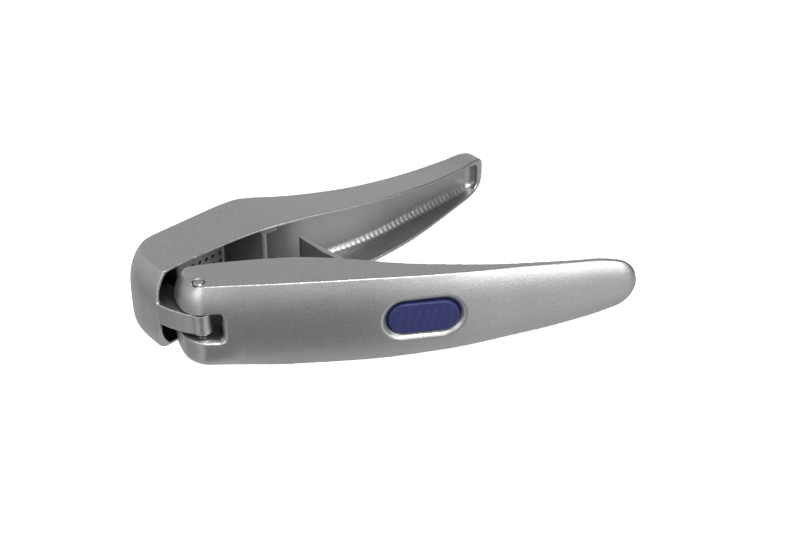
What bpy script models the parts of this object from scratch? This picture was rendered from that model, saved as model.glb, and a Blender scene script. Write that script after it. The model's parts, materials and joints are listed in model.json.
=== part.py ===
"""Garlic press of cast aluminium, lying on its side with its arms open.

Each arm is modelled in its own plan frame, in millimetres: the hinge axis is
the origin, X runs towards the arm's tip, Y points from the press arm's outer
face to the hopper arm's outer face, and Z is the height above the surface
that the press lies on. Both frames coincide when the press is closed.
"""
import math

import bmesh
import bpy
from mathutils import Vector

MM = 0.001
HEIGHT = 36.0  # over the two side faces, near the hinge
MID = HEIGHT / 2
OPEN_DEG = 37.0  # angle between the arms as they lie
SWING_DEG = -55.0  # plunger, turned out of its pressing position
CENTRE_X = -71.37  # puts the middle of the open press on the origin
CENTRE_Y = -47.81
WALL = 2.6  # side walls of both arms
RIM_WALL = 1.2  # the same walls at their free edges

PIN_R = 2.1
PIN_HOLE_R = 2.4
PIN_FOOT = 2.2  # lower end of the hinge pin, inside the rounded heel
EYE_R = 4.2
TONGUE_HALF = 4.3
SLOT_MID = MID + 1.2  # middle of the slot and of the tongue
SLOT_HALF = 5.7
SLOT_END_X = 7.4

PIVOT = (28.5, 2.0)  # plunger pivot on the press arm
PIVOT_PIN_R = 1.6
PIVOT_HOLE_R = 1.9
FLOOR_Y = 32.4  # inner face of the strainer floor
FLOOR_OUT_Y = 35.8
WALL_TOP_Y = 14.0  # free edge of the wall between the hopper and the handle
GRID_COUNT = 8
GRID_PITCH = 3.5
GRID_X = 24.2  # middle of the hole pattern and of the stud pattern
HOLE_R = 0.9

WINDOW_X = 82.1  # middle of the cleaning tool's window
WINDOW_HALF = 14.0
WINDOW_R = 6.8

ALUMINIUM = (0.46, 0.46, 0.46)
STEEL = (0.55, 0.55, 0.56)
BLUE = (0.033, 0.04, 0.12)

# Cross-sections: outer edge x, y; rim edge x, y; half height; crown of the outer face.
PRESS_SECTIONS = [
    (-5.2, 10.6, -4.9, 11.4, 17.8, 4.7),
    (-4.5, 7.6, -3.6, 11.9, 17.9, 4.8),
    (-3.7, 3.8, -1.5, 12.2, 18.0, 4.7),
    (-2.6, 0.2, 0.8, 12.5, 18.0, 4.3),
    (0.2, -2.9, 3.5, 12.7, 18.0, 3.6),
    (4.0, -3.8, 6.5, 12.9, 18.0, 3.2),
    (12.0, -4.6, 13.0, 13.1, 18.0, 2.9),
    (25.0, -5.9, 25.0, 12.9, 18.0, 2.8),
    (38.0, -6.9, 38.0, 11.9, 18.0, 2.8),
    (50.0, -7.8, 50.0, 9.1, 18.0, 2.8),
    (61.0, -8.4, 61.0, 5.8, 18.0, 2.8),
    (71.0, -8.7, 71.0, 2.7, 17.7, 2.8),
    (82.0, -8.6, 82.0, 0.4, 17.3, 2.8),
    (94.0, -8.2, 94.0, -1.2, 16.8, 2.8),
    (106.0, -7.1, 106.0, -2.2, 16.1, 2.8),
    (118.0, -5.6, 118.0, -2.3, 15.3, 2.8),
    (130.0, -4.3, 130.0, -1.7, 14.4, 2.8),
    (142.0, -2.6, 142.0, -0.6, 13.3, 2.8),
    (152.0, -0.9, 152.0, 0.9, 12.2, 2.7),
    (158.0, -0.1, 158.0, 1.5, 11.0, 2.5),
    (162.0, 0.2, 162.2, 1.7, 9.8, 2.2),
    (165.0, 0.4, 165.3, 1.7, 7.8, 1.8),
    (167.2, 0.6, 167.5, 1.7, 5.0, 1.2),
    (168.2, 0.8, 168.5, 1.7, 1.7, 0.6),
]
HOPPER_SECTIONS = [
    (-3.8, 15.4, -2.9, 15.2, 18.0, 4.9),
    (-3.4, 18.5, -1.5, 15.2, 18.0, 5.0),
    (-2.7, 23.0, 0.5, 15.2, 18.0, 5.1),
    (-1.9, 28.0, 2.5, 15.2, 18.0, 5.2),
    (-0.5, 33.0, 4.5, 15.1, 18.0, 5.2),
    (1.9, 36.8, 6.5, 15.1, 18.0, 5.0),
    (5.6, 39.2, 9.0, 15.1, 18.0, 4.5),
    (10.5, 40.0, 12.0, 15.0, 18.0, 3.8),
    (20.0, 40.1, 21.0, 14.6, 18.0, 3.1),
    (32.0, 40.1, 32.0, 13.7, 18.0, 2.9),
    (42.0, 40.0, 42.0, 12.1, 18.0, 2.9),
    (48.5, 39.4, 48.0, 10.7, 18.0, 3.0),
    (53.0, 38.2, 52.0, 9.7, 17.9, 3.0),
    (58.0, 35.4, 57.0, 8.7, 17.6, 3.0),
    (64.0, 31.0, 63.0, 7.4, 17.2, 3.0),
    (71.0, 26.8, 70.0, 5.8, 16.6, 3.0),
    (82.0, 22.1, 81.0, 3.4, 15.5, 3.0),
    (95.0, 17.6, 95.0, 0.9, 14.3, 2.8),
    (108.0, 14.8, 108.0, -0.4, 13.1, 2.6),
    (120.0, 13.3, 120.0, -0.9, 11.9, 2.4),
    (132.0, 12.0, 132.0, -0.4, 11.0, 2.2),
    (144.0, 11.1, 144.0, 0.5, 10.3, 2.0),
    (152.0, 10.6, 152.0, 1.2, 9.8, 1.9),
    (158.0, 10.0, 158.0, 2.0, 9.0, 1.7),
    (162.2, 9.2, 162.8, 3.0, 7.6, 1.5),
    (165.2, 8.2, 166.0, 4.2, 5.4, 1.1),
    (167.0, 7.3, 167.6, 5.2, 2.2, 0.5),
]
PRESS_CROWN_POWER = 2.4
HOPPER_CROWN_POWER = 3.4
HEEL_RISE = 2.0  # rounding of the press arm's lower outer edge near the hinge
TIP_DRAFT = 1.2  # how far the hopper arm's rim stands inside its outer face, near the tip
EDGE = 0.5  # rounding of the long edges
LEVELS = (1.0, 0.97, 0.88, 0.74, 0.56, 0.36, 0.14, -0.14, -0.36, -0.56, -0.74, -0.88, -0.97, -1.0)


def between(rows, u):
    """Catmull-Rom value of a table's rows at u, counted in rows."""
    i = min(int(u), len(rows) - 2)
    t = u - i
    near = [rows[max(0, min(len(rows) - 1, i + k))] for k in (-1, 0, 1, 2)]
    out = []
    for a, b, c, d in zip(*near):
        out.append(b + 0.5 * t * (c - a + t * (2 * a - 5 * b + 4 * c - d + t * (3 * (b - c) + d - a))))
    return out


def heel(x, level):
    """Rise of the press arm's lower outer edge, which is rounded off towards the hinge."""
    near = max(0.0, 1 - (x + 5) / 34)
    return HEEL_RISE * near * max(0.0, (-level - 0.6) / 0.4) ** 2


def fullness(rows, x, level):
    """Power of the outer face's crown. Both hinge ends are fuller below than above."""
    near = max(0.0, min(1.0, (15 - x) / 20))
    if rows is HOPPER_SECTIONS:
        return HOPPER_CROWN_POWER + near * (3.5 if level < 0 else -0.9)
    return PRESS_CROWN_POWER + near * (8.0 if level < 0 else 1.4)


def draft(rows, x):
    """How much lower the hopper arm is at its rim than at its outer face, near the tip."""
    if rows is PRESS_SECTIONS:
        return 0.0
    return TIP_DRAFT * max(0.0, min(1.0, (x - 118) / 32))


def arm_ring(rows, u):
    """One closed cross-section of an arm, from the top of its outer face round to its rim."""
    x, y, rim_x, rim_y, half, crown = between(rows, u)
    half = min(half, MID)
    step = 0.02
    last = len(rows) - 1
    ahead = between(rows, min(u + step, last))
    behind = between(rows, max(u - step, 0))
    along = Vector((ahead[0] - behind[0], ahead[1] - behind[1])).normalized()
    side = 1 if rim_y > y else -1
    out = Vector((along.y, -along.x)) * side
    across = Vector((rim_x - x, rim_y - y)).normalized()
    edge = min(EDGE, half * 0.3)
    lift = heel(x, -1) if rows is PRESS_SECTIONS else 0.0
    ring = [(x + across.x * edge, y + across.y * edge, MID + half)]
    for level in LEVELS:
        push = crown * (1 - abs(level) ** fullness(rows, x, level))
        rise = heel(x, level) if rows is PRESS_SECTIONS else 0.0
        ring.append((x + out.x * push, y + out.y * push, MID + (half - edge) * level + rise))
    rim_half = half - min(draft(rows, x), half * 0.3)
    ring.append((x + across.x * edge, y + across.y * edge, MID - half + lift))
    ring.append((rim_x - across.x * edge, rim_y - across.y * edge, MID - rim_half))
    ring.append((rim_x, rim_y, MID - rim_half + edge))
    ring.append((rim_x, rim_y, MID + rim_half - edge))
    ring.append((rim_x - across.x * edge, rim_y - across.y * edge, MID + rim_half))
    return ring


def mesh_object(name, bm):
    bmesh.ops.triangulate(bm, faces=bm.faces)
    bmesh.ops.recalc_face_normals(bm, faces=bm.faces)
    mesh = bpy.data.meshes.new(name)
    bm.to_mesh(mesh)
    bm.free()
    obj = bpy.data.objects.new(name, mesh)
    bpy.context.scene.collection.objects.link(obj)
    return obj


def loft(name, rings):
    """A closed solid through rings of points given in millimetres."""
    bm = bmesh.new()
    rows = [[bm.verts.new(Vector(p) * MM) for p in ring] for ring in rings]
    count = len(rings[0])
    for a, b in zip(rows, rows[1:]):
        for i in range(count):
            j = (i + 1) % count
            bm.faces.new((a[i], a[j], b[j], b[i]))
    bm.faces.new(rows[0])
    bm.faces.new(list(reversed(rows[-1])))
    return mesh_object(name, bm)


def prism(name, outline, low, high, bevel=0.0):
    """An outline in plan, extruded from one height to another."""
    obj = loft(name, [[(x, y, low) for x, y in outline], [(x, y, high) for x, y in outline]])
    if bevel:
        bm = bmesh.new()
        bm.from_mesh(obj.data)
        bmesh.ops.bevel(bm, geom=bm.edges, offset=bevel * MM, segments=2, affect="EDGES", profile=0.5)
        bm.to_mesh(obj.data)
        bm.free()
    return obj


def circle(cx, cy, r, count=32, start=0.0, turn=360.0):
    closed = abs(turn) >= 360
    steps = count if closed else count - 1
    angles = [math.radians(start + turn * i / steps) for i in range(count)]
    return [(cx + r * math.cos(a), cy + r * math.sin(a)) for a in angles]


def stadium(cx, half, r, y):
    """Points of a stadium that stands across the Y axis."""
    right = circle(cx + half - r, MID, r, 13, -90, 180)
    left = circle(cx - half + r, MID, r, 13, 90, 180)
    return [(x, y, z) for x, z in right + left]


def cut(obj, tool, operation="DIFFERENCE"):
    """Applies a Boolean with the tool, then removes the tool."""
    mod = obj.modifiers.new(operation.lower(), "BOOLEAN")
    mod.operation = operation
    mod.solver = "EXACT"
    mod.object = tool
    depsgraph = bpy.context.evaluated_depsgraph_get()
    mesh = bpy.data.meshes.new_from_object(obj.evaluated_get(depsgraph))
    obj.modifiers.clear()
    obj.data = mesh
    mesh.name = obj.name
    bpy.data.objects.remove(tool)


def merge(name, objs):
    """Joins solids that don't touch into one cutter."""
    bm = bmesh.new()
    for obj in objs:
        bm.from_mesh(obj.data)
        bpy.data.objects.remove(obj)
    return mesh_object(name, bm)


def rod(name, axis_x, axis_y, r, low, high, count=32, chamfer=0.0):
    """A round bar along Z, with chamfered ends."""
    rings = []
    for z, radius in ((low, r - chamfer), (low + chamfer, r), (high - chamfer, r), (high, r - chamfer)):
        rings.append([(x, y, z) for x, y in circle(axis_x, axis_y, radius, count)])
    if not chamfer:
        rings = [rings[0], rings[-1]]
    return loft(name, rings)


def arm_solid(name, rows, steps):
    last = len(rows) - 1
    count = last * steps
    return loft(name, [arm_ring(rows, last * i / count) for i in range(count + 1)])


def channel(name, rows, first, last, floor, overshoot):
    """Cutter for the hollow inside an arm between two table rows."""
    side = 1 if rows[last][3] > rows[last][1] else -1
    rings = []
    count = (last - first) * 2
    for i in range(count + 1):
        x, y, _, rim_y, half, _ = between(rows, first + (last - first) * i / count)
        deep = y + side * floor
        shallow = rim_y + side * overshoot
        wide = half - WALL
        mouth = half - RIM_WALL - draft(rows, x)
        r = min(2.0, abs(rim_y - deep) * 0.4)
        ring = [(x, shallow, MID + mouth), (x, rim_y, MID + mouth)]
        for a in (0, 30, 60, 90):
            c, s = math.cos(math.radians(a)), math.sin(math.radians(a))
            ring.append((x, deep + side * r * (1 - s), MID + wide - r * (1 - c)))
        for a in (90, 60, 30, 0):
            c, s = math.cos(math.radians(a)), math.sin(math.radians(a))
            ring.append((x, deep + side * r * (1 - s), MID - wide + r * (1 - c)))
        ring.append((x, rim_y, MID - mouth))
        ring.append((x, shallow, MID - mouth))
        rings.append(ring)
    return loft(name, rings)


def build_press_arm():
    arm = arm_solid("press_arm", PRESS_SECTIONS, 2)
    cut(arm, channel("hollow", PRESS_SECTIONS, 6, 16, 1.2, 8))
    for low, high in ((WALL - 0.8, 8.2), (HEIGHT - 8.2, HEIGHT - WALL + 0.8)):
        foot = [(PIVOT[0] + 4.2, -6.0), *circle(PIVOT[0], PIVOT[1], 4.2, 9, 0, 180), (PIVOT[0] - 4.2, -6.0)]
        cut(arm, prism("lug", foot, low, high), "UNION")
    slot = [(-25, -25), (SLOT_END_X, -25), (SLOT_END_X, 25), (-25, 25)]
    cut(arm, prism("slot", slot, SLOT_MID - SLOT_HALF, SLOT_MID + SLOT_HALF))
    behind_slot = [(-26, -3.0), (11.5, -3.0), (11.5, 4.0), (7.0, 4.0), (7.0, 26), (-26, 26)]
    cut(arm, prism("behind_slot", behind_slot, SLOT_MID - SLOT_HALF + 0.1, SLOT_MID + SLOT_HALF - 0.1))
    cut(arm, rod("pin_hole", 0, 0, PIN_HOLE_R, -3, HEIGHT + 3))
    cut(arm, rod("pivot_hole", PIVOT[0], PIVOT[1], PIVOT_HOLE_R, -3, HEIGHT - 1.4, 24))
    cut(arm, loft("window", [stadium(WINDOW_X, WINDOW_HALF, WINDOW_R, y) for y in (-20, -4)]))
    flare = [stadium(WINDOW_X, WINDOW_HALF - 1 + g, WINDOW_R - 1 + g, y) for g, y in ((0, -9.3), (6, -15.3))]
    cut(arm, loft("window_flare", flare))
    return arm


def strainer_holes():
    holes = []
    reach = (GRID_COUNT - 1) / 2
    for i in range(GRID_COUNT):
        for j in range(GRID_COUNT):
            x = GRID_X + (i - reach) * GRID_PITCH
            z = MID + (j - reach) * GRID_PITCH
            ends = (FLOOR_Y - 3, FLOOR_OUT_Y + 3)
            holes.append(loft("hole", [[(px, y, pz) for px, pz in circle(x, z, HOLE_R, 12)] for y in ends]))
    return merge("holes", holes)


def cap_hollow():
    """Cutter for the hollow behind the hopper arm's rounded end, where the press arm's ear turns in."""
    wide = MID - RIM_WALL
    rings = []
    for level in (1.0, 0.9, 0.7, 0.4, 0.0, -0.4, -0.7, -0.9, -1.0):
        left = -2.8 - 4.2 * (1 - abs(level) ** HOPPER_CROWN_POWER)
        inner = [(left, 8), (6.4, 8), (6.4, 30), (4.4, 32.5)]
        outline = inner + [(left + 5.2, 30.5), (left + 3.4, 26), (left + 1.7, 20), (left, 15.5)]
        rings.append([(x, y, MID + wide * level) for x, y in outline])
    return loft("cap_hollow", rings)


def hopper_mouth():
    """Cutter that bevels the inner edge of the hopper's mouth, from the rim down to the full wall."""
    rings = []
    for x in (-1.5, 4.5, 9.0, 20.0, 32.0, 41.6):
        rim_y = 15.2 - 0.0012 * max(0.0, x - 6) ** 2
        profile = ((rim_y - 4, RIM_WALL - 0.6), (rim_y, RIM_WALL - 0.2), (rim_y + 6, WALL))
        upper = [(x, y, HEIGHT - wall) for y, wall in profile]
        lower = [(x, y, wall) for y, wall in reversed(profile)]
        rings.append(upper + lower)
    return loft("hopper_mouth", rings)


def cap_corner():
    """Cutter that slants the cap's free edge away below the tongue."""
    foot = SLOT_MID - TONGUE_HALF
    rings = []
    for x in (-14, 6):
        rings.append([(x, 5, foot), (x, 15.0, foot), (x, 16.6, foot - 5), (x, 20.2, -2), (x, 5, -2)])
    return loft("cap_corner", rings)


def build_hopper_arm():
    arm = arm_solid("hopper_arm", HOPPER_SECTIONS, 2)
    cut(arm, channel("hollow", HOPPER_SECTIONS, 11, 22, 3.0, 8))
    cut(arm, cap_hollow())
    cut(arm, cap_corner())
    pocket = [(9.1, 5), (45.4, 5), (44.0, 13.4), (38.5, FLOOR_Y), (9.1, FLOOR_Y)]
    cut(arm, prism("pocket", pocket, WALL, HEIGHT - WALL, 1.2))
    behind = [(46.1, 5), (46.1, 13.4), (40.2, 33.0), (41.6, 36.4), (48.5, 36.3), (52.8, 35.0),
              (57.5, 31.8), (57.5, 5)]
    cut(arm, prism("behind_wall", behind, WALL + 0.4, HEIGHT - WALL - 0.4))
    above = [(43, 4), (48.6, 4), (48.6, WALL_TOP_Y), (43, WALL_TOP_Y)]
    cut(arm, prism("above_wall", above, WALL + 0.1, HEIGHT - WALL - 0.1))
    cut(arm, hopper_mouth())
    tongue = [(-6, 25), (-8.3, 18), (-8.2, 14), (-7.6, 10), (-6.7, 6.5), (-5.5, 3),
              *circle(0, 0, EYE_R, 15, 180, 180), (3.9, 8), (4.2, 20), (5.0, 33), (0, 33)]
    cut(arm, prism("tongue", tongue, SLOT_MID - TONGUE_HALF, SLOT_MID + TONGUE_HALF), "UNION")
    cut(arm, rod("eye_hole", 0, 0, PIN_HOLE_R, 0, HEIGHT))
    recess = []
    for y, grow in ((FLOOR_OUT_Y, 0), (FLOOR_OUT_Y + 12, 2.4)):
        wide = 13.8 + grow
        corners = ((10.4 - grow, -wide), (38.0 + grow, -wide), (38.0 + grow, wide), (10.4 - grow, wide))
        recess.append([(x, y, MID + z) for x, z in corners])
    cut(arm, loft("recess", recess))
    cut(arm, strainer_holes())
    return arm


def build_plunger():
    """The plunger, with its pivot at the origin and its face towards +Y."""
    face = 28.6
    left, right = 9.7 - PIVOT[0], 37.9 - PIVOT[0]
    plate = [(right, face), (left, face), (left, face - 0.9), (left + 2.0, face - 1.3), (-6, face - 2.2),
             (right - 1.0, face - 2.5), (right, face - 1.6)]
    body = prism("plunger", plate, MID - 14.7, MID + 14.7)
    stem = [(-3.2, -1.0), (-1.6, 6), (0.6, 13), (2.0, 19.0), (1.6, 21.8), (-3.0, 24.4), (-9.0, 26.4),
            (-10.0, 27.6), (9.0, 27.6), (8.4, 22), (6.8, 13), (4.0, 2.0), (3.0, -2.0)]
    cut(body, prism("stem", stem, MID - 5, MID + 5), "UNION")
    cut(body, rod("boss", 0, 0, 4.0, MID - 9.3, MID + 9.3), "UNION")
    studs = []
    reach = (GRID_COUNT - 1) / 2
    for i in range(GRID_COUNT):
        for j in range(GRID_COUNT):
            x = GRID_X - PIVOT[0] + (i - reach) * GRID_PITCH
            z = MID + (j - reach) * GRID_PITCH
            rings = []
            for y, r in ((face - 0.5, 1.25), (face, 1.2), (face + 1.2, 0.75)):
                rings.append([(x - r, y, z - r), (x + r, y, z - r), (x + r, y, z + r), (x - r, y, z + r)])
            studs.append(loft("stud", rings))
    cut(body, merge("studs", studs), "UNION")
    cut(body, rod("pivot_bore", 0, 0, PIVOT_HOLE_R, 0, HEIGHT, 24))
    return body


def build_cleaning_tool():
    base = [(65.0, -5.6), (100.6, -5.6), (100.6, -3.4), (65.0, -3.4)]
    body = prism("cleaning_tool", base, MID - 10, MID + 10)
    boss = [stadium(WINDOW_X, WINDOW_HALF - 0.3, WINDOW_R - 0.3, y) for y in (-4.5, -10.4)]
    boss.append(stadium(WINDOW_X, WINDOW_HALF - 0.8, WINDOW_R - 0.8, -10.8))
    cut(body, loft("boss", boss), "UNION")
    pins = []
    for i in range(GRID_COUNT):
        for j in range(5):
            x = WINDOW_X + (i - (GRID_COUNT - 1) / 2) * GRID_PITCH
            z = MID + (j - 2) * GRID_PITCH
            profile = ((-4, 0.75), (0, 0.65), (0.6, 0.35))
            pins.append(loft("pin", [[(px, y, pz) for px, pz in circle(x, z, r, 8)] for y, r in profile]))
    cut(body, merge("pins", pins), "UNION")
    return body


def material(name, colour, metallic, roughness):
    mat = bpy.data.materials.new(name)
    mat.use_nodes = True
    shader = mat.node_tree.nodes["Principled BSDF"]
    shader.inputs["Base Color"].default_value = (*colour, 1)
    shader.inputs["Metallic"].default_value = metallic
    shader.inputs["Roughness"].default_value = roughness
    return mat


def empty(name, parent, x, y, angle):
    """A frame on a joint's axis."""
    obj = bpy.data.objects.new(name, None)
    bpy.context.scene.collection.objects.link(obj)
    obj.parent = parent
    obj.location = (x * MM, y * MM, 0)
    obj.rotation_euler = (0, 0, math.radians(angle))
    return obj


def place(obj, parent, mat):
    obj.parent = parent
    obj.data.materials.clear()
    obj.data.materials.append(mat)


def main():
    for obj in list(bpy.data.objects):
        bpy.data.objects.remove(obj)
    cast = material("cast_aluminium", ALUMINIUM, 1.0, 0.42)
    steel = material("steel", STEEL, 1.0, 0.35)
    blue = material("blue_plastic", BLUE, 0.0, 0.4)

    hinge = empty("hinge_axis", None, CENTRE_X, CENTRE_Y, 0)
    opened = empty("hopper_frame", hinge, 0, 0, OPEN_DEG)
    pivot = empty("plunger_axis", hinge, PIVOT[0], PIVOT[1], SWING_DEG)

    place(build_press_arm(), hinge, cast)
    place(build_hopper_arm(), opened, cast)
    place(rod("hinge_pin", 0, 0, PIN_R, PIN_FOOT, HEIGHT - 0.1, 32, 0.3), hinge, steel)
    place(build_plunger(), pivot, cast)
    place(rod("plunger_pin", PIVOT[0], PIVOT[1], PIVOT_PIN_R, 0.3, HEIGHT - 2.0, 24, 0.3), hinge, steel)
    place(build_cleaning_tool(), hinge, blue)


main()
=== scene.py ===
"""Looks of the garlic press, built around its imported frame.

The arms are modelled in plan frames in millimetres: the hinge axis is the
origin, X runs towards the arm's tip, Y points from the press arm's outer face
to the hopper arm's outer face, and Z is the height above the floor. Each
casting is lofted, cut and then remeshed, which gives its edges the soft
rounding of a bead-blasted casting.
"""

import json
import math

import bmesh
import bpy
from mathutils import Matrix, Vector

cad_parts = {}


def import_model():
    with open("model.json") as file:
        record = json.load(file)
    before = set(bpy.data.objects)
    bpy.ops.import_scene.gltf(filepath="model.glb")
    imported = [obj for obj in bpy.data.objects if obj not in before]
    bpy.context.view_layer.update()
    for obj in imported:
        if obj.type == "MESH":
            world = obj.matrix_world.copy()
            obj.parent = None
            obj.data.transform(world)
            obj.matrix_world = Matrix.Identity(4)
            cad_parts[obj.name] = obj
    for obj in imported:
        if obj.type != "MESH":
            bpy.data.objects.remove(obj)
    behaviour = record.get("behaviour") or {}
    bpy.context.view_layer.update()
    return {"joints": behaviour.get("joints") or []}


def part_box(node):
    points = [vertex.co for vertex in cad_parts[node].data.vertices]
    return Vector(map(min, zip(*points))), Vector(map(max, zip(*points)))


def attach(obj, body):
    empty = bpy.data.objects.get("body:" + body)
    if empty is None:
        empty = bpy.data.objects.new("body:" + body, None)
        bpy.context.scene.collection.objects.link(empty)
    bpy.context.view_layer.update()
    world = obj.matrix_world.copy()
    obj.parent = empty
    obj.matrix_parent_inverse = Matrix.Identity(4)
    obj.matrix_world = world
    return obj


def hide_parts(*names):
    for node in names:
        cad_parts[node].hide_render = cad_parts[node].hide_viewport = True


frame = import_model()

MM = 0.001
JOINTS = {joint["name"]: joint for joint in frame["joints"]}
HINGE = Vector(JOINTS["arm_hinge"]["pos_m"][:2]) / MM
PIVOT_AT = Vector(JOINTS["plunger_hinge"]["pos_m"][:2]) / MM
PIVOT = tuple(PIVOT_AT - HINGE)  # plunger pivot in the press arm's frame
OPEN_DEG = -JOINTS["arm_hinge"]["range_deg"][0]  # from closed to the rest pose
SWING_DEG = -JOINTS["plunger_hinge"]["range_deg"][1]  # from pressing to the rest pose
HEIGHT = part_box("press_arm")[1].z / MM
MID = HEIGHT / 2
WALL = 2.6  # side walls of both arms
RIM_WALL = 1.2  # the same walls at their free edges

# Camera: what it looks at, in millimetres, and from where.
TARGET = Vector((HINGE.x + 79.58, HINGE.y + 27.61, MID))
AZIMUTH = -10
ELEVATION = 31
DISTANCE = 544.5
LENS = 61.65

# The room that the metal mirrors. ROOM is its brightness by elevation in degrees, and SIDES is a
# factor on it by the direction's X, from left to right. LOW_ROOM replaces both in the band below
# the horizon: it is dark straight ahead, where the camera stands.
ROOM = ((-90, 0.60), (-55, 0.50), (-8, 0.52), (6, 0.60), (20, 0.60), (36, 0.42), (90, 0.38))
SIDES = ((-1, 1.0), (0.45, 1.0), (0.75, 0.25), (1, 0.2))
LOW_ROOM = ((-1, 0.20), (-0.72, 0.36), (-0.54, 0.82), (-0.34, 0.18), (-0.1, 0.02), (0.04, 0.02),
            (0.16, 0.26), (0.42, 0.82), (0.6, 0.7), (0.8, 0.48), (1, 0.44))
LOW_BAND = ((-90, 0.0), (-58, 0.1), (-46, 1.0), (-16, 1.0), (-2, 0.0), (90, 0.0))

# Softboxes: name, azimuth, elevation, width, height and watts. Azimuth 0 is in front of the press.
SOFTBOXES = (
    ("key", 36, 16, 420, 300, 1.5),
    ("left", -54, 20, 460, 320, 0.9),
    ("high", 14, 58, 300, 120, 3.5),
)
SOFTBOX_DISTANCE = 700

HOLLOW_SHADE_REACH = 0.03  # metres over which a hollow counts as deep, for the painted shade in hollows
HOLLOW_SHADE_LEVEL = 0.42  # how light the painted shade leaves the deepest hollows

# Hinge, with the hopper arm's tongue in the press arm's slot.
PIN_R = 2.1
PIN_HOLE_R = 2.4
PIN_FOOT = 2.2  # lower end of the hinge pin, inside the rounded heel
EYE_R = 4.2
TONGUE_HALF = 4.3
SLOT_MID = MID + 1.2  # middle of the slot and of the tongue
SLOT_HALF = 5.7
SLOT_END_X = 7.4
SLOT_CORNER_R = 1.6

# Plunger, hopper and strainer.
PIVOT_PIN_R = 1.6
PIVOT_HOLE_R = 1.9
LUG_R = 4.2
FLOOR_Y = 32.4  # inner face of the strainer floor
FLOOR_OUT_Y = 35.8
WALL_TOP_Y = 14.0  # free edge of the wall between the hopper and the handle
GRID_COUNT = 8  # holes, studs and pins along the arm
GRID_PITCH = 3.5
GRID_X = 24.2  # middle of the holes and of the studs
HOLE_R = 0.9
PLUNGER_FACE = 28.6  # from the plunger's pivot to its face
PLUNGER_HALF = 14.7
STEM_HALF = 5
BOSS_R = 4.0
BOSS_HALF = 9.3

# Cleaning tool and its window.
TOOL_ROWS = 5  # rows of pins across the arm
WINDOW_X = 82.1  # middle of the window
WINDOW_HALF = 14.0
WINDOW_R = 6.8
RIB_PITCH = 3.2  # low grip ribs on the blue button
RIB_REACH = 3  # ribs on each side of the middle one
RIB_HALF = 3.0
RIB_LEAN = 0.35

# Hollows inside the arms.
END_ROUND = 4.0  # length over which a hollow runs out
END_NARROW = 3.0  # how far its walls draw in there
ROOT_FILLET = 2.0  # fillet along its floor near the hinge
HANDLE_FILLET = 1.6  # what that fillet gains along the handle
FILLET_X = 62  # where it starts to gain
FILLET_RUN = 24  # length over which it gains
SCALLOP_PITCH = 2.3  # ripple along the hopper arm's fillet
SCALLOP_DEPTH = 0.14
CHANNEL_STEPS = 28  # sections per table row

# Cross-sections: outer edge x, y; rim edge x, y; half height; crown of the outer face.
PRESS_SECTIONS = [
    (-5.2, 10.6, -4.9, 11.4, 17.8, 4.7),
    (-4.5, 7.6, -3.6, 11.9, 17.9, 4.8),
    (-3.7, 3.8, -1.5, 12.2, 18.0, 4.7),
    (-2.6, 0.2, 0.8, 12.5, 18.0, 4.3),
    (0.2, -2.9, 3.5, 12.7, 18.0, 3.6),
    (4.0, -3.8, 6.5, 12.9, 18.0, 3.2),
    (12.0, -4.6, 13.0, 13.1, 18.0, 2.9),
    (25.0, -5.9, 25.0, 12.9, 18.0, 2.8),
    (38.0, -6.9, 38.0, 11.9, 18.0, 2.8),
    (50.0, -7.8, 50.0, 9.1, 18.0, 2.8),
    (61.0, -8.4, 61.0, 5.8, 18.0, 2.8),
    (71.0, -8.7, 71.0, 2.7, 17.7, 2.8),
    (82.0, -8.6, 82.0, 0.4, 17.3, 2.8),
    (94.0, -8.2, 94.0, -1.2, 16.8, 2.8),
    (106.0, -7.1, 106.0, -2.2, 16.1, 2.8),
    (118.0, -5.6, 118.0, -2.3, 15.3, 2.8),
    (130.0, -4.3, 130.0, -1.7, 14.4, 2.8),
    (142.0, -2.6, 142.0, -0.6, 13.3, 2.8),
    (152.0, -0.9, 152.0, 0.9, 12.2, 2.7),
    (158.0, -0.1, 158.0, 1.5, 11.0, 2.5),
    (162.0, 0.2, 162.2, 1.7, 9.8, 2.2),
    (165.0, 0.4, 165.3, 1.7, 7.8, 1.8),
    (167.2, 0.6, 167.5, 1.7, 5.0, 1.2),
    (168.2, 0.8, 168.5, 1.7, 1.7, 0.6),
]
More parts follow.
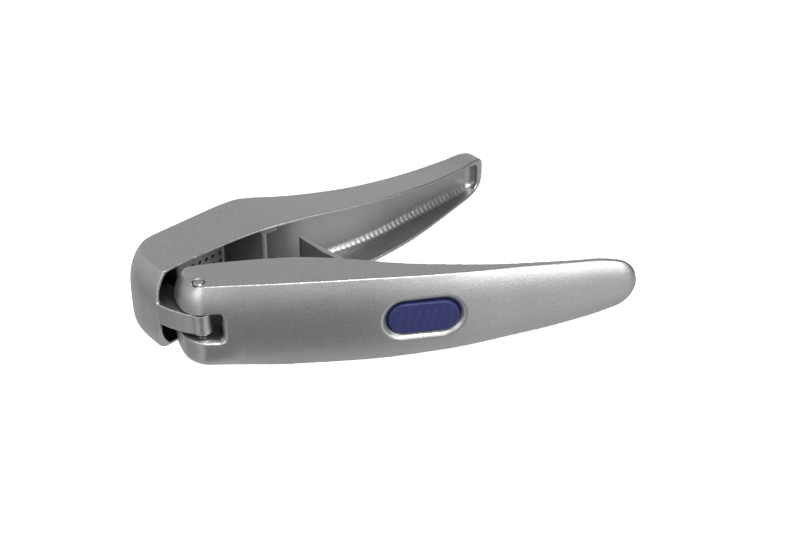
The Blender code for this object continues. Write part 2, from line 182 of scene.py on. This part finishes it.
HOPPER_SECTIONS = [
    (-3.8, 15.4, -2.9, 15.2, 18.0, 4.9),
    (-3.4, 18.5, -1.5, 15.2, 18.0, 5.0),
    (-2.7, 23.0, 0.5, 15.2, 18.0, 5.1),
    (-1.9, 28.0, 2.5, 15.2, 18.0, 5.2),
    (-0.5, 33.0, 4.5, 15.1, 18.0, 5.2),
    (1.9, 36.8, 6.5, 15.1, 18.0, 5.0),
    (5.6, 39.2, 9.0, 15.1, 18.0, 4.5),
    (10.5, 40.0, 12.0, 15.0, 18.0, 3.8),
    (20.0, 40.1, 21.0, 14.6, 18.0, 3.1),
    (32.0, 40.1, 32.0, 13.7, 18.0, 2.9),
    (42.0, 40.0, 42.0, 12.1, 18.0, 2.9),
    (48.5, 39.4, 48.0, 10.7, 18.0, 3.0),
    (53.0, 38.2, 52.0, 9.7, 17.9, 3.0),
    (58.0, 35.4, 57.0, 8.7, 17.6, 3.0),
    (64.0, 31.0, 63.0, 7.4, 17.2, 3.0),
    (71.0, 26.8, 70.0, 5.8, 16.6, 3.0),
    (82.0, 22.1, 81.0, 3.4, 15.5, 3.0),
    (95.0, 17.6, 95.0, 0.9, 14.3, 2.8),
    (108.0, 14.8, 108.0, -0.4, 13.1, 2.6),
    (120.0, 13.3, 120.0, -0.9, 11.9, 2.4),
    (132.0, 12.0, 132.0, -0.4, 11.0, 2.2),
    (144.0, 11.1, 144.0, 0.5, 10.3, 2.0),
    (152.0, 10.6, 152.0, 1.2, 9.8, 1.9),
    (158.0, 10.0, 158.0, 2.0, 9.0, 1.7),
    (162.2, 9.2, 162.8, 3.0, 7.6, 1.5),
    (165.2, 8.2, 166.0, 4.2, 5.4, 1.1),
    (167.0, 7.3, 167.6, 5.2, 2.2, 0.5),
]
PRESS_CROWN_POWER = 2.4
HOPPER_CROWN_POWER = 3.4
HEEL_RISE = 2.0  # rounding of the press arm's lower outer edge near the hinge
TIP_DRAFT = 1.2  # how far the hopper arm's rim stands inside its outer face, near the tip
TIP_FULL = 1.2  # extra height of the upper half of the hopper arm's tip
RING_LEVELS = [math.sin(math.radians(90 - 180 * i / 28)) for i in range(29)]
STEPS = 8  # loft sections per table row

# Remeshing, in millimetres, and relaxing of the castings.
CAST_VOXEL = 0.32
FINE_VOXEL = 0.28
CAST_PASSES = 6
PLUNGER_PASSES = 3
TOOL_PASSES = 2

# Materials: noise cells per metre.
GRAIN_SCALE = 1900
MOTTLE_SCALE = 160
STEEL_SCALE = 1500
PLASTIC_SCALE = 1400


# ---------------------------------------------------------------- mesh tools

def between(rows, u):
    """Catmull-Rom value of a table's rows at u, counted in rows."""
    i = min(int(u), len(rows) - 2)
    t = u - i
    near = [rows[max(0, min(len(rows) - 1, i + k))] for k in (-1, 0, 1, 2)]
    out = []
    for a, b, c, d in zip(*near):
        out.append(b + 0.5 * t * (c - a + t * (2 * a - 5 * b + 4 * c - d + t * (3 * (b - c) + d - a))))
    return out


def heel(x, level):
    """Rise of the press arm's lower outer edge, which is rounded off towards the hinge."""
    near = max(0.0, 1 - (x + 5) / 34)
    return HEEL_RISE * near * max(0.0, (-level - 0.6) / 0.4) ** 2


def fullness(rows, x, level):
    """Power of the outer face's crown. Both hinge ends are fuller below than above."""
    near = max(0.0, min(1.0, (15 - x) / 20))
    if rows is HOPPER_SECTIONS:
        return HOPPER_CROWN_POWER + near * (3.5 if level < 0 else -0.9)
    return PRESS_CROWN_POWER + near * (8.0 if level < 0 else 1.4)


def draft(rows, x):
    """How far the hopper arm's rim stands inside its outer face, near the tip."""
    if rows is PRESS_SECTIONS:
        return 0.0
    return TIP_DRAFT * max(0.0, min(1.0, (x - 118) / 32))


def fuller_tip(rows, x):
    """How much higher the hopper arm's tip reaches than it would if it were symmetrical."""
    if rows is PRESS_SECTIONS:
        return 0.0
    return TIP_FULL * max(0.0, min(1.0, (x - 150) / 12))


def arm_ring(rows, u):
    """One closed cross-section of an arm, from the top of its outer face round to its rim."""
    x, y, rim_x, rim_y, half, crown = between(rows, u)
    half = min(half, MID)
    last = len(rows) - 1
    ahead = between(rows, min(u + 0.02, last))
    behind = between(rows, max(u - 0.02, 0))
    along = Vector((ahead[0] - behind[0], ahead[1] - behind[1])).normalized()
    side = 1 if rim_y > y else -1
    out = Vector((along.y, -along.x)) * side
    tip = fuller_tip(rows, x)
    ring = []
    for level in RING_LEVELS:
        push = crown * (1 - abs(level) ** fullness(rows, x, level))
        rise = heel(x, level) if rows is PRESS_SECTIONS else 0.0
        reach = half + tip if level > 0 else half
        ring.append((x + out.x * push, y + out.y * push, MID + reach * level + rise))
    rim_half = half - min(draft(rows, x), half * 0.3)
    ring.append((rim_x, rim_y, MID - rim_half))
    ring.append((rim_x, rim_y, MID + rim_half + tip))
    return ring


def mesh_object(name, bm):
    bmesh.ops.triangulate(bm, faces=bm.faces)
    bmesh.ops.recalc_face_normals(bm, faces=bm.faces)
    mesh = bpy.data.meshes.new(name)
    bm.to_mesh(mesh)
    bm.free()
    obj = bpy.data.objects.new(name, mesh)
    bpy.context.scene.collection.objects.link(obj)
    return obj


def loft(name, rings):
    """A closed solid through rings of points given in millimetres."""
    bm = bmesh.new()
    rows = [[bm.verts.new(Vector(p) * MM) for p in ring] for ring in rings]
    count = len(rings[0])
    for a, b in zip(rows, rows[1:]):
        for i in range(count):
            j = (i + 1) % count
            bm.faces.new((a[i], a[j], b[j], b[i]))
    bm.faces.new(rows[0])
    bm.faces.new(list(reversed(rows[-1])))
    return mesh_object(name, bm)


def prism(name, outline, low, high):
    """An outline in plan, extruded from one height to another."""
    return loft(name, [[(x, y, z) for x, y in outline] for z in (low, high)])


def circle(cx, cy, r, count=64, start=0.0, turn=360.0):
    steps = count if abs(turn) >= 360 else count - 1
    angles = [math.radians(start + turn * i / steps) for i in range(count)]
    return [(cx + r * math.cos(a), cy + r * math.sin(a)) for a in angles]


def stadium(cx, half, r, y):
    """Points of a stadium that stands across the Y axis."""
    right = circle(cx + half - r, MID, r, 25, -90, 180)
    left = circle(cx - half + r, MID, r, 25, 90, 180)
    return [(x, y, z) for x, z in right + left]


def rod(name, centre, profile, count=64):
    """A turned bar along Z, from a profile of heights and radii."""
    rings = [[(x, y, z) for x, y in circle(*centre, r, count)] for z, r in profile]
    return loft(name, rings)


def applied(obj):
    """Replaces an object's mesh with the one that its modifiers give."""
    depsgraph = bpy.context.evaluated_depsgraph_get()
    mesh = bpy.data.meshes.new_from_object(obj.evaluated_get(depsgraph))
    obj.modifiers.clear()
    obj.data = mesh
    mesh.name = obj.name
    return obj


def cut(obj, tool, operation="DIFFERENCE"):
    """Applies a Boolean with the tool, then removes the tool."""
    mod = obj.modifiers.new("cut", "BOOLEAN")
    mod.operation = operation
    mod.solver = "EXACT"
    mod.object = tool
    applied(obj)
    bpy.data.objects.remove(tool)


def merge(name, objs):
    """Joins solids that don't touch into one."""
    bm = bmesh.new()
    for obj in objs:
        bm.from_mesh(obj.data)
        bpy.data.objects.remove(obj)
    return mesh_object(name, bm)


def soften(obj, voxel, passes):
    """Remeshes a solid evenly and relaxes it, which rounds its edges as casting and blasting do."""
    remesh = obj.modifiers.new("remesh", "REMESH")
    remesh.mode = "VOXEL"
    remesh.voxel_size = voxel * MM
    remesh.adaptivity = 0
    smooth = obj.modifiers.new("smooth", "SMOOTH")
    smooth.factor = 0.5
    smooth.iterations = passes
    return applied(obj)


# ---------------------------------------------------------------- castings

def arm_solid(name, rows):
    last = len(rows) - 1
    count = last * STEPS
    return loft(name, [arm_ring(rows, last * i / count) for i in range(count + 1)])


def channel(name, rows, first, last, thickness, scallop=0.0):
    """Cutter for the hollow inside an arm between two table rows, with a fillet along its floor."""
    overshoot = 8
    side = 1 if rows[first][3] > rows[first][1] else -1
    rings = []
    count = int((last - first) * CHANNEL_STEPS)
    end = between(rows, last)[0]
    for i in range(count + 1):
        x, y, _, rim_y, half, _ = between(rows, first + (last - first) * i / count)
        into_end = max(0.0, 1 - (end - x) / END_ROUND)
        shrink = math.sqrt(1 - 0.8 * into_end ** 2)
        deep = rim_y + (y + side * thickness - rim_y) * shrink
        shallow = rim_y + side * overshoot
        narrow = END_NARROW * (1 - shrink)
        wide = half - WALL - narrow
        mouth = half - RIM_WALL - draft(rows, x) - narrow
        fillet = ROOT_FILLET + HANDLE_FILLET * max(0.0, min(1.0, (x - FILLET_X) / FILLET_RUN))
        r = min(fillet, abs(rim_y - deep) * 0.5)
        r += scallop * shrink * math.cos(2 * math.pi * x / SCALLOP_PITCH)
        ring = [(x, shallow, MID + mouth), (x, rim_y, MID + mouth)]
        for sign, angles in ((1, range(0, 91, 15)), (-1, range(90, -1, -15))):
            for a in angles:
                c, s = math.cos(math.radians(a)), math.sin(math.radians(a))
                ring.append((x, deep + side * r * (1 - s), MID + sign * (wide - r * (1 - c))))
        ring.append((x, rim_y, MID - mouth))
        ring.append((x, shallow, MID - mouth))
        rings.append(ring)
    return loft(name, rings)


def surface_y(x, z):
    """Outer face of the press arm at a place along it."""
    xs = [row[0] for row in PRESS_SECTIONS]
    i = max(k for k in range(len(xs) - 1) if xs[k] <= x)
    u = i + (x - xs[i]) / (xs[i + 1] - xs[i])
    _, y, _, _, half, crown = between(PRESS_SECTIONS, u)
    level = min(1.0, abs(z - MID) / half)
    return y - crown * (1 - level ** PRESS_CROWN_POWER)


def window_flare():
    """Cutter that rounds the window's edge into the outer face, at the same depth all round."""
    rings = []
    for depth, grow in ((2.4, 0.0), (1.9, 0.15), (0.35, 1.7), (0.0, 2.3), (-3.0, 6.0)):
        ring = stadium(WINDOW_X, WINDOW_HALF + grow, WINDOW_R + grow, 0)
        rings.append([(x, surface_y(x, z) + depth, z) for x, _, z in ring])
    return loft("window_flare", rings)


def slot_cutter():
    """Cutter for the tongue's slot, which has rounded corners and a bevelled edge at the outer face."""
    rings = []
    for y, grow in ((-30, 8.0), (-7.7, 1.4), (-6.9, 0.9), (-5.9, 0.3), (-4.9, 0.0), (25, 0.0)):
        end, half, r = SLOT_END_X + grow, SLOT_HALF + grow, SLOT_CORNER_R + grow
        upper = circle(end - r, SLOT_MID + half - r, r, 9, 90, -90)
        lower = circle(end - r, SLOT_MID - half + r, r, 9, 0, -90)
        outline = [(-25, SLOT_MID + half), *upper, *lower, (-25, SLOT_MID - half)]
        rings.append([(x, y, z) for x, z in outline])
    return loft("slot", rings)


def build_press_arm():
    arm = arm_solid("press_casting", PRESS_SECTIONS)
    cut(arm, channel("hollow", PRESS_SECTIONS, 6, 16, 1.2))
    for low, high in ((WALL - 0.8, 8.2), (HEIGHT - 8.2, HEIGHT - WALL + 0.8)):
        foot = [(PIVOT[0] + LUG_R, -6.0), *circle(*PIVOT, LUG_R, 25, 0, 180), (PIVOT[0] - LUG_R, -6.0)]
        cut(arm, prism("lug", foot, low, high), "UNION")
    cut(arm, slot_cutter())
    behind_slot = [(-25, -3.0), (11.5, -3.0), (11.5, 4.0), (7.0, 4.0), (7.0, 25), (-25, 25)]
    cut(arm, prism("behind_slot", behind_slot, SLOT_MID - SLOT_HALF, SLOT_MID + SLOT_HALF))
    cut(arm, rod("pin_hole", (0, 0), ((-3, PIN_HOLE_R), (HEIGHT + 3, PIN_HOLE_R))))
    cut(arm, rod("pivot_hole", PIVOT, ((-3, PIVOT_HOLE_R), (HEIGHT - 1.4, PIVOT_HOLE_R))))
    cut(arm, loft("window", [stadium(WINDOW_X, WINDOW_HALF, WINDOW_R, y) for y in (-20, -4)]))
    cut(arm, window_flare())
    return soften(arm, CAST_VOXEL, CAST_PASSES)


def grid(middle_x, across):
    """Places of a regular pattern on a face that stands across the Y axis."""
    places = []
    for i in range(GRID_COUNT):
        for j in range(across):
            x = middle_x + (i - (GRID_COUNT - 1) / 2) * GRID_PITCH
            z = MID + (j - (across - 1) / 2) * GRID_PITCH
            places.append((x, z))
    return places


def peg(name, x, z, profile, count):
    """A round bar along Y, from a profile of Y values and radii."""
    return loft(name, [[(px, y, pz) for px, pz in circle(x, z, r, count)] for y, r in profile])


def strainer_holes():
    profile = ((FLOOR_Y - 3, HOLE_R), (FLOOR_OUT_Y + 3, HOLE_R))
    holes = [peg("hole", x, z, profile, 24) for x, z in grid(GRID_X, GRID_COUNT)]
    return merge("holes", holes)


def cap_hollow():
    """Cutter for the hollow behind the hopper arm's rounded end, where the press arm's ear turns in."""
    rings = []
    for level in RING_LEVELS:
        left = -2.8 - 4.2 * (1 - abs(level) ** HOPPER_CROWN_POWER)
        inner = [(left, 8), (6.4, 8), (6.4, 30), (4.4, 32.5)]
        outline = inner + [(left + 5.2, 30.5), (left + 3.4, 26), (left + 1.7, 20), (left, 15.5)]
        rings.append([(x, y, MID + (MID - RIM_WALL) * level) for x, y in outline])
    return loft("cap_hollow", rings)


def hopper_mouth():
    """Cutter that bevels the inner edge of the hopper's mouth, from the rim down to the full wall."""
    rings = []
    for x in (-1.5, 4.5, 9.0, 20.0, 32.0, 41.6):
        rim_y = 15.2 - 0.0012 * max(0.0, x - 6) ** 2
        profile = ((rim_y - 4, RIM_WALL - 0.6), (rim_y, RIM_WALL - 0.2), (rim_y + 6, WALL))
        upper = [(x, y, HEIGHT - wall) for y, wall in profile]
        lower = [(x, y, wall) for y, wall in reversed(profile)]
        rings.append(upper + lower)
    return loft("hopper_mouth", rings)


def cap_corner():
    """Cutter that slants the cap's free edge away below the tongue."""
    foot = SLOT_MID - TONGUE_HALF
    rings = []
    for x in (-14, 6):
        rings.append([(x, 5, foot), (x, 15.0, foot), (x, 16.6, foot - 5), (x, 20.2, -2), (x, 5, -2)])
    return loft("cap_corner", rings)


def build_hopper_arm():
    arm = arm_solid("hopper_casting", HOPPER_SECTIONS)
    cut(arm, channel("hollow", HOPPER_SECTIONS, 11, 23.8, 3.0, SCALLOP_DEPTH))
    cut(arm, cap_hollow())
    cut(arm, cap_corner())
    pocket = [(9.1, 5), (45.4, 5), (44.0, 13.4), (38.5, FLOOR_Y), (9.1, FLOOR_Y)]
    cut(arm, prism("pocket", pocket, WALL, HEIGHT - WALL))
    behind = [(46.1, 5), (46.1, 13.4), (40.2, 33.0), (41.6, 36.4), (48.5, 36.3), (52.8, 35.0),
              (57.5, 31.8), (57.5, 5)]
    cut(arm, prism("behind_wall", behind, WALL + 0.4, HEIGHT - WALL - 0.4))
    above = [(43, 4), (48.6, 4), (48.6, WALL_TOP_Y), (43, WALL_TOP_Y)]
    cut(arm, prism("above_wall", above, WALL + 0.1, HEIGHT - WALL - 0.1))
    cut(arm, hopper_mouth())
    tongue = [(-6, 25), (-8.3, 18), (-8.2, 14), (-7.6, 10), (-6.7, 6.5), (-5.5, 3),
              *circle(0, 0, EYE_R, 31, 180, 180), (3.9, 8), (4.2, 20), (5.0, 33), (0, 33)]
    cut(arm, prism("tongue", tongue, SLOT_MID - TONGUE_HALF, SLOT_MID + TONGUE_HALF), "UNION")
    cut(arm, rod("eye_hole", (0, 0), ((0, PIN_HOLE_R), (HEIGHT, PIN_HOLE_R))))
    recess = []
    for y, grow in ((FLOOR_OUT_Y, 0), (FLOOR_OUT_Y + 12, 2.4)):
        wide = 13.8 + grow
        corners = ((10.4 - grow, -wide), (38.0 + grow, -wide), (38.0 + grow, wide), (10.4 - grow, wide))
        recess.append([(x, y, MID + z) for x, z in corners])
    cut(arm, loft("recess", recess))
    soften(arm, CAST_VOXEL, CAST_PASSES)
    cut(arm, strainer_holes())
    return arm


def build_plunger():
    """The plunger, with its pivot at the origin and its face towards +Y."""
    face = PLUNGER_FACE
    left, right = 9.7 - PIVOT[0], 37.9 - PIVOT[0]
    plate = [(right, face), (left, face), (left, face - 0.9), (left + 2.0, face - 1.3), (-6, face - 2.2),
             (right - 1.0, face - 2.5), (right, face - 1.6)]
    body = prism("plunger_casting", plate, MID - PLUNGER_HALF, MID + PLUNGER_HALF)
    stem = [(-3.2, -1.0), (-1.6, 6), (0.6, 13), (2.0, 19.0), (1.6, 21.8), (-3.0, 24.4), (-9.0, 26.4),
            (-10.0, 27.6), (9.0, 27.6), (8.4, 22), (6.8, 13), (4.0, 2.0), (3.0, -2.0)]
    cut(body, prism("stem", stem, MID - STEM_HALF, MID + STEM_HALF), "UNION")
    boss = ((MID - BOSS_HALF, BOSS_R), (MID + BOSS_HALF, BOSS_R))
    cut(body, rod("boss", (0, 0), boss), "UNION")
    studs = []
    for x, z in grid(GRID_X - PIVOT[0], GRID_COUNT):
        rings = []
        for y, r in ((face - 0.5, 1.25), (face, 1.2), (face + 1.2, 0.75)):
            rings.append([(x - r, y, z - r), (x + r, y, z - r), (x + r, y, z + r), (x - r, y, z + r)])
        studs.append(loft("stud", rings))
    cut(body, merge("studs", studs), "UNION")
    cut(body, rod("bore", (0, 0), ((0, PIVOT_HOLE_R), (HEIGHT, PIVOT_HOLE_R))))
    return soften(body, FINE_VOXEL, PLUNGER_PASSES)


def build_cleaning_tool():
    base = [(65.0, -5.6), (100.6, -5.6), (100.6, -3.4), (65.0, -3.4)]
    body = prism("blue_tool", base, MID - 10, MID + 10)
    boss = []
    for y, inset in ((-4.5, 0.3), (-10.2, 0.3), (-10.5, 0.4), (-10.7, 0.65), (-10.8, 1.1)):
        boss.append(stadium(WINDOW_X, WINDOW_HALF - inset, WINDOW_R - inset, y))
    cut(body, loft("boss", boss), "UNION")
    for i in range(-RIB_REACH, RIB_REACH + 1):
        x = WINDOW_X + i * RIB_PITCH
        rib = []
        for y, grow in ((-9, 0.55), (-10.85, 0.5), (-11.1, 0.25)):
            corners = ((-grow, -RIB_HALF), (grow, -RIB_HALF), (grow, RIB_HALF), (-grow, RIB_HALF))
            rib.append([(x + px + pz * RIB_LEAN, y, MID + pz) for px, pz in corners])
        cut(body, loft("rib", rib), "UNION")
    profile = ((-4, 0.75), (0, 0.65), (0.6, 0.35))
    pins = [peg("pin", x, z, profile, 16) for x, z in grid(WINDOW_X, TOOL_ROWS)]
    cut(body, merge("pins", pins), "UNION")
    return soften(body, FINE_VOXEL, TOOL_PASSES)


def build_pin(name, centre, r, low, high):
    """A turned pin with chamfered, slightly dished ends."""
    profile = ((low + 0.15, r - 0.9), (low, r - 0.6), (low, r - 0.3), (low + 0.3, r),
               (high - 0.3, r), (high, r - 0.3), (high, r - 0.6), (high - 0.15, r - 0.9))
    return rod(name, centre, profile)


# ---------------------------------------------------------------- materials

def new_material(name):
    mat = bpy.data.materials.new(name)
    mat.use_nodes = True
    tree = mat.node_tree
    return mat, tree, tree.nodes["Principled BSDF"]


def noise(tree, coords, scale, detail=2.0):
    node = tree.nodes.new("ShaderNodeTexNoise")
    node.inputs["Scale"].default_value = scale
    node.inputs["Detail"].default_value = detail
    tree.links.new(coords, node.inputs["Vector"])
    return node.outputs["Fac"]


def spread(tree, value, low, high):
    """Maps a noise value around the middle to a range."""
    node = tree.nodes.new("ShaderNodeMapRange")
    node.inputs["From Min"].default_value = 0.3
    node.inputs["From Max"].default_value = 0.7
    node.inputs["To Min"].default_value = low
    node.inputs["To Max"].default_value = high
    tree.links.new(value, node.inputs["Value"])
    return node.outputs["Result"]


def two_tone(tree, value, low, low_colour, high, high_colour):
    """Maps a noise value to a blend of two colours."""
    node = tree.nodes.new("ShaderNodeValToRGB")
    for element, at, colour in zip(node.color_ramp.elements, (low, high), (low_colour, high_colour)):
        element.position = at
        element.color = (*colour, 1)
    tree.links.new(value, node.inputs["Fac"])
    return node.outputs["Color"]


def bump(tree, height, distance, strength, before=None):
    node = tree.nodes.new("ShaderNodeBump")
    node.inputs["Distance"].default_value = distance
    node.inputs["Strength"].default_value = strength
    tree.links.new(height, node.inputs["Height"])
    if before:
        tree.links.new(before, node.inputs["Normal"])
    return node.outputs["Normal"]


def painted_hollow_shade(tree, colour):
    """Painted shade: darkens a colour by ambient occlusion in deep hollows, where less light falls."""
    hollow = tree.nodes.new("ShaderNodeAmbientOcclusion")
    hollow.only_local = True
    hollow.samples = 8
    hollow.inputs["Distance"].default_value = HOLLOW_SHADE_REACH
    level = tree.nodes.new("ShaderNodeMapRange")
    level.inputs["From Min"].default_value = 0.3
    level.inputs["From Max"].default_value = 0.85
    level.inputs["To Min"].default_value = HOLLOW_SHADE_LEVEL
    level.inputs["To Max"].default_value = 1.0
    tree.links.new(hollow.outputs["AO"], level.inputs["Value"])
    # Multiplies the colour by the occlusion level, which paints shade into the hollows.
    shade_multiply = tree.nodes.new("ShaderNodeMix")
    shade_multiply.data_type = "RGBA"
    shade_multiply.blend_type = "MULTIPLY"
    shade_multiply.inputs["Factor"].default_value = 1.0
    tree.links.new(colour, shade_multiply.inputs["A"])
    tree.links.new(level.outputs["Result"], shade_multiply.inputs["B"])
    return shade_multiply.outputs["Result"]


def cast_aluminium():
    """Bead-blasted cast aluminium: satin, with a fine sparkling grain and painted shade in its deep
    hollows.
    """
    mat, tree, shader = new_material("cast_aluminium")
    coords = tree.nodes.new("ShaderNodeTexCoord").outputs["Object"]
    grain = noise(tree, coords, GRAIN_SCALE, 1.0)
    mottle = noise(tree, coords, MOTTLE_SCALE, 3.0)
    tint = two_tone(tree, grain, 0.35, (0.50, 0.50, 0.505), 0.68, (0.60, 0.60, 0.60))
    # The base colour gets painted shade: ambient occlusion darkens it in deep hollows.
    tree.links.new(painted_hollow_shade(tree, tint), shader.inputs["Base Color"])
    shader.inputs["Metallic"].default_value = 1.0
    tree.links.new(spread(tree, mottle, 0.39, 0.41), shader.inputs["Roughness"])
    fine = bump(tree, grain, 0.00008, 0.7)
    tree.links.new(bump(tree, mottle, 0.00005, 0.12, fine), shader.inputs["Normal"])
    return mat


def turned_steel():
    """Pin steel with a faint fine grain."""
    mat, tree, shader = new_material("turned_steel")
    coords = tree.nodes.new("ShaderNodeTexCoord").outputs["Object"]
    shader.inputs["Base Color"].default_value = (0.56, 0.56, 0.57, 1)
    shader.inputs["Metallic"].default_value = 1.0
    fine = noise(tree, coords, STEEL_SCALE, 1.0)
    tree.links.new(spread(tree, fine, 0.26, 0.36), shader.inputs["Roughness"])
    tree.links.new(bump(tree, fine, 0.00003, 0.3), shader.inputs["Normal"])
    return mat


def blue_plastic():
    """Moulded blue plastic with a fine spark-eroded texture."""
    mat, tree, shader = new_material("blue_plastic")
    coords = tree.nodes.new("ShaderNodeTexCoord").outputs["Object"]
    texture = noise(tree, coords, PLASTIC_SCALE, 2.0)
    tint = two_tone(tree, texture, 0.3, (0.023, 0.027, 0.105), 0.7, (0.030, 0.034, 0.122))
    tree.links.new(tint, shader.inputs["Base Color"])
    shader.inputs["Specular IOR Level"].default_value = 0.35
    tree.links.new(spread(tree, texture, 0.38, 0.48), shader.inputs["Roughness"])
    tree.links.new(bump(tree, texture, 0.00004, 0.35), shader.inputs["Normal"])
    return mat


# ---------------------------------------------------------------- placing

def place(obj, origin, angle, mat, body, node):
    """Turns a piece from its plan frame into the row frame, and hands it to its CAD body."""
    turn = Matrix.Rotation(math.radians(angle), 4, "Z")
    shift = Matrix.Translation(Vector((origin[0] * MM, origin[1] * MM, 0)))
    obj.data.transform(shift @ turn)
    obj.data.materials.clear()
    obj.data.materials.append(mat)
    obj.data.shade_smooth()
    obj.data.set_sharp_from_angle(angle=math.radians(40))
    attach(obj, body)
    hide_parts(node)


def build_press():
    cast, steel, blue = cast_aluminium(), turned_steel(), blue_plastic()
    place(build_press_arm(), HINGE, 0, cast, "press_arm", "press_arm")
    place(build_hopper_arm(), HINGE, OPEN_DEG, cast, "hopper_arm", "hopper_arm")
    place(build_plunger(), PIVOT_AT, SWING_DEG, cast, "plunger", "plunger")
    place(build_cleaning_tool(), HINGE, 0, blue, "cleaning_tool", "cleaning_tool")
    hinge_pin = build_pin("hinge_pin_turned", (0, 0), PIN_R, PIN_FOOT, HEIGHT - 0.1)
    place(hinge_pin, HINGE, 0, steel, "press_arm", "hinge_pin")
    plunger_pin = build_pin("plunger_pin_turned", (0, 0), PIVOT_PIN_R, 0.3, HEIGHT - 2.0)
    place(plunger_pin, PIVOT_AT, 0, steel, "press_arm", "plunger_pin")


# ---------------------------------------------------------------- studio

def aim(obj, azimuth, elevation, distance):
    """Puts an object at a direction and distance in millimetres, looking at the press."""
    az, el = math.radians(azimuth), math.radians(elevation)
    back = Vector((math.sin(az) * math.cos(el), -math.cos(az) * math.cos(el), math.sin(el)))
    obj.location = (TARGET + back * distance) * MM
    obj.rotation_euler = back.to_track_quat("Z", "Y").to_euler()


def camera():
    data = bpy.data.cameras.new("camera")
    data.lens = LENS
    data.sensor_width = 36
    data.clip_start = 0.01
    obj = bpy.data.objects.new("camera", data)
    bpy.context.scene.collection.objects.link(obj)
    aim(obj, AZIMUTH, ELEVATION, DISTANCE)
    bpy.context.scene.camera = obj


def softbox(name, azimuth, elevation, width, height, watts):
    data = bpy.data.lights.new(name, "AREA")
    data.shape = "RECTANGLE"
    data.size = width * MM
    data.size_y = height * MM
    data.energy = watts
    obj = bpy.data.objects.new(name, data)
    bpy.context.scene.collection.objects.link(obj)
    aim(obj, azimuth, elevation, SOFTBOX_DISTANCE)


def floor():
    """A pale floor that the metal doesn't mirror, so that the press looks as it does on a light table."""
    bm = bmesh.new()
    bmesh.ops.create_grid(bm, x_segments=1, y_segments=1, size=4)
    obj = mesh_object("floor", bm)
    mat, _, shader = new_material("pale_floor")
    shader.inputs["Base Color"].default_value = (0.5, 0.5, 0.5, 1)
    shader.inputs["Roughness"].default_value = 1.0
    shader.inputs["Specular IOR Level"].default_value = 0.0
    shader.inputs["Emission Color"].default_value = (1, 1, 1, 1)
    shader.inputs["Emission Strength"].default_value = 0.95
    obj.data.materials.append(mat)
    obj.visible_glossy = False
    obj.visible_diffuse = False
    obj.visible_shadow = False


def ramp(tree, value, stops):
    """Greys by a direction's component, which runs from -1 to 1."""
    scaled = tree.nodes.new("ShaderNodeMapRange")
    scaled.inputs["From Min"].default_value = -1.0
    tree.links.new(value, scaled.inputs["Value"])
    node = tree.nodes.new("ShaderNodeValToRGB")
    node.color_ramp.interpolation = "EASE"
    while len(node.color_ramp.elements) < len(stops):
        node.color_ramp.elements.new(0.5)
    for element, (at, grey) in zip(node.color_ramp.elements, stops):
        element.position = (at + 1) / 2
        element.color = (grey, grey, grey, 1)
    tree.links.new(scaled.outputs["Result"], node.inputs["Fac"])
    return node.outputs["Color"]


def world():
    """White to the camera. To the metal it is a room whose brightness changes with height."""
    sky = bpy.data.worlds.new("studio")
    bpy.context.scene.world = sky
    sky.use_nodes = True
    tree = sky.node_tree
    room = tree.nodes["Background"]
    direction = tree.nodes.new("ShaderNodeTexCoord").outputs["Generated"]
    parts = tree.nodes.new("ShaderNodeSeparateXYZ")
    tree.links.new(direction, parts.inputs[0])
    by_height = [(math.sin(math.radians(elevation)), grey) for elevation, grey in ROOM]
    band = [(math.sin(math.radians(elevation)), weight) for elevation, weight in LOW_BAND]
    mix_room = tree.nodes.new("ShaderNodeMix")
    mix_room.data_type = "RGBA"
    tree.links.new(ramp(tree, parts.outputs["Z"], band), mix_room.inputs["Factor"])
    sided = tree.nodes.new("ShaderNodeMix")
    sided.data_type = "RGBA"
    sided.blend_type = "MULTIPLY"
    sided.inputs["Factor"].default_value = 1.0
    tree.links.new(ramp(tree, parts.outputs["Z"], by_height), sided.inputs["A"])
    tree.links.new(ramp(tree, parts.outputs["X"], SIDES), sided.inputs["B"])
    tree.links.new(sided.outputs["Result"], mix_room.inputs["A"])
    tree.links.new(ramp(tree, parts.outputs["X"], LOW_ROOM), mix_room.inputs["B"])
    tree.links.new(mix_room.outputs["Result"], room.inputs["Color"])
    backdrop = tree.nodes.new("ShaderNodeBackground")
    mix = tree.nodes.new("ShaderNodeMixShader")
    tree.links.new(tree.nodes.new("ShaderNodeLightPath").outputs["Is Camera Ray"], mix.inputs["Fac"])
    tree.links.new(room.outputs[0], mix.inputs[1])
    tree.links.new(backdrop.outputs[0], mix.inputs[2])
    tree.links.new(mix.outputs[0], tree.nodes["World Output"].inputs["Surface"])


def studio():
    world()
    floor()
    for box in SOFTBOXES:
        softbox(*box)
    bpy.context.scene.view_settings.view_transform = "Standard"


camera()
build_press()
studio()
bpy.context.view_layer.update()
